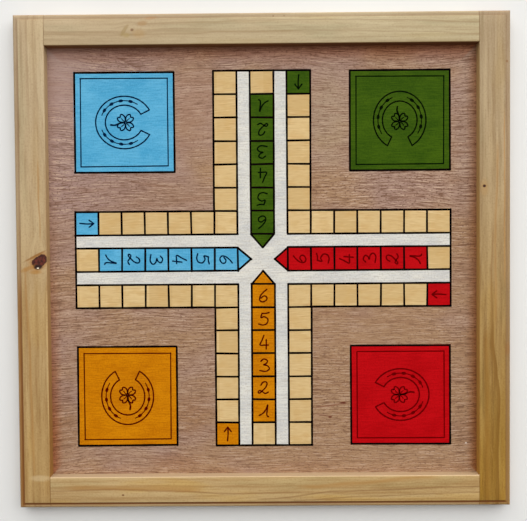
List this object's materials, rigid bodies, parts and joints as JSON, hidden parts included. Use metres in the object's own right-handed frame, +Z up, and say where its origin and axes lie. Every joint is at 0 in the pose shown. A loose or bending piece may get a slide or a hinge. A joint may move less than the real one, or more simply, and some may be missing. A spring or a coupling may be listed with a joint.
{
  "type": "ludo board",
  "caption": "Square home-made ludo board: moulded pine frame round a sunken plywood panel with a painted cross track, white lanes, coloured home squares and numbered home columns.",
  "frame": {"origin": "centre of the underside, on the surface that the board lies on", "axes": "+Z up out of the playing face, +Y towards the top rail, +X towards the right stile"},
  "size_m": [0.6, 0.6, 0.02],
  "materials": {
    "pine": "satin varnish",
    "plywood": "thin varnish",
    "beech": "bare",
    "steel": "bright",
    "tan_paint": "satin paint",
    "white_paint": "satin paint",
    "green_paint": "satin paint",
    "blue_paint": "satin paint",
    "orange_paint": "satin paint",
    "red_paint": "satin paint",
    "black_ink": "marker ink"
  },
  "bodies": {
    "root": {"left_stile": "pine", "right_stile": "pine", "top_rail": "pine", "bottom_rail": "pine", "playing_panel": "plywood", "dowel_top_left_inner": "beech", "dowel_top_left_outer": "beech", "dowel_top_right_inner": "beech", "dowel_top_right_outer": "beech", "dowel_bottom_left_inner": "beech", "dowel_bottom_left_outer": "beech", "dowel_bottom_right_inner": "beech", "dowel_bottom_right_outer": "beech", "panel_pin_top_1": "steel", "panel_pin_top_2": "steel", "panel_pin_top_3": "steel", "panel_pin_top_4": "steel", "panel_pin_left_1": "steel", "panel_pin_left_2": "steel", "panel_pin_left_3": "steel", "panel_pin_left_4": "steel", "panel_pin_bottom_1": "steel", "panel_pin_bottom_2": "steel", "panel_pin_bottom_3": "steel", "panel_pin_bottom_4": "steel", "panel_pin_right_1": "steel", "panel_pin_right_2": "steel", "panel_pin_right_3": "steel", "panel_pin_right_4": "steel", "white_lanes": "white_paint", "ink_grid": "black_ink", "green_home_square": "green_paint", "green_home_outline": "black_ink", "green_home_fine_line": "black_ink", "green_start_cell": "green_paint", "green_home_column": "green_paint", "green_end_cell": "tan_paint", "green_track": "tan_paint", "blue_home_square": "blue_paint", "blue_home_outline": "black_ink", "blue_home_fine_line": "black_ink", "blue_start_cell": "blue_paint", "blue_home_column": "blue_paint", "blue_end_cell": "tan_paint", "blue_track": "tan_paint", "orange_home_square": "orange_paint", "orange_home_outline": "black_ink", "orange_home_fine_line": "black_ink", "orange_start_cell": "orange_paint", "orange_home_column": "orange_paint", "orange_end_cell": "tan_paint", "orange_track": "tan_paint", "red_home_square": "red_paint", "red_home_outline": "black_ink", "red_home_fine_line": "black_ink", "red_start_cell": "red_paint", "red_home_column": "red_paint", "red_end_cell": "tan_paint", "red_track": "tan_paint"}
  },
  "joints": []
}
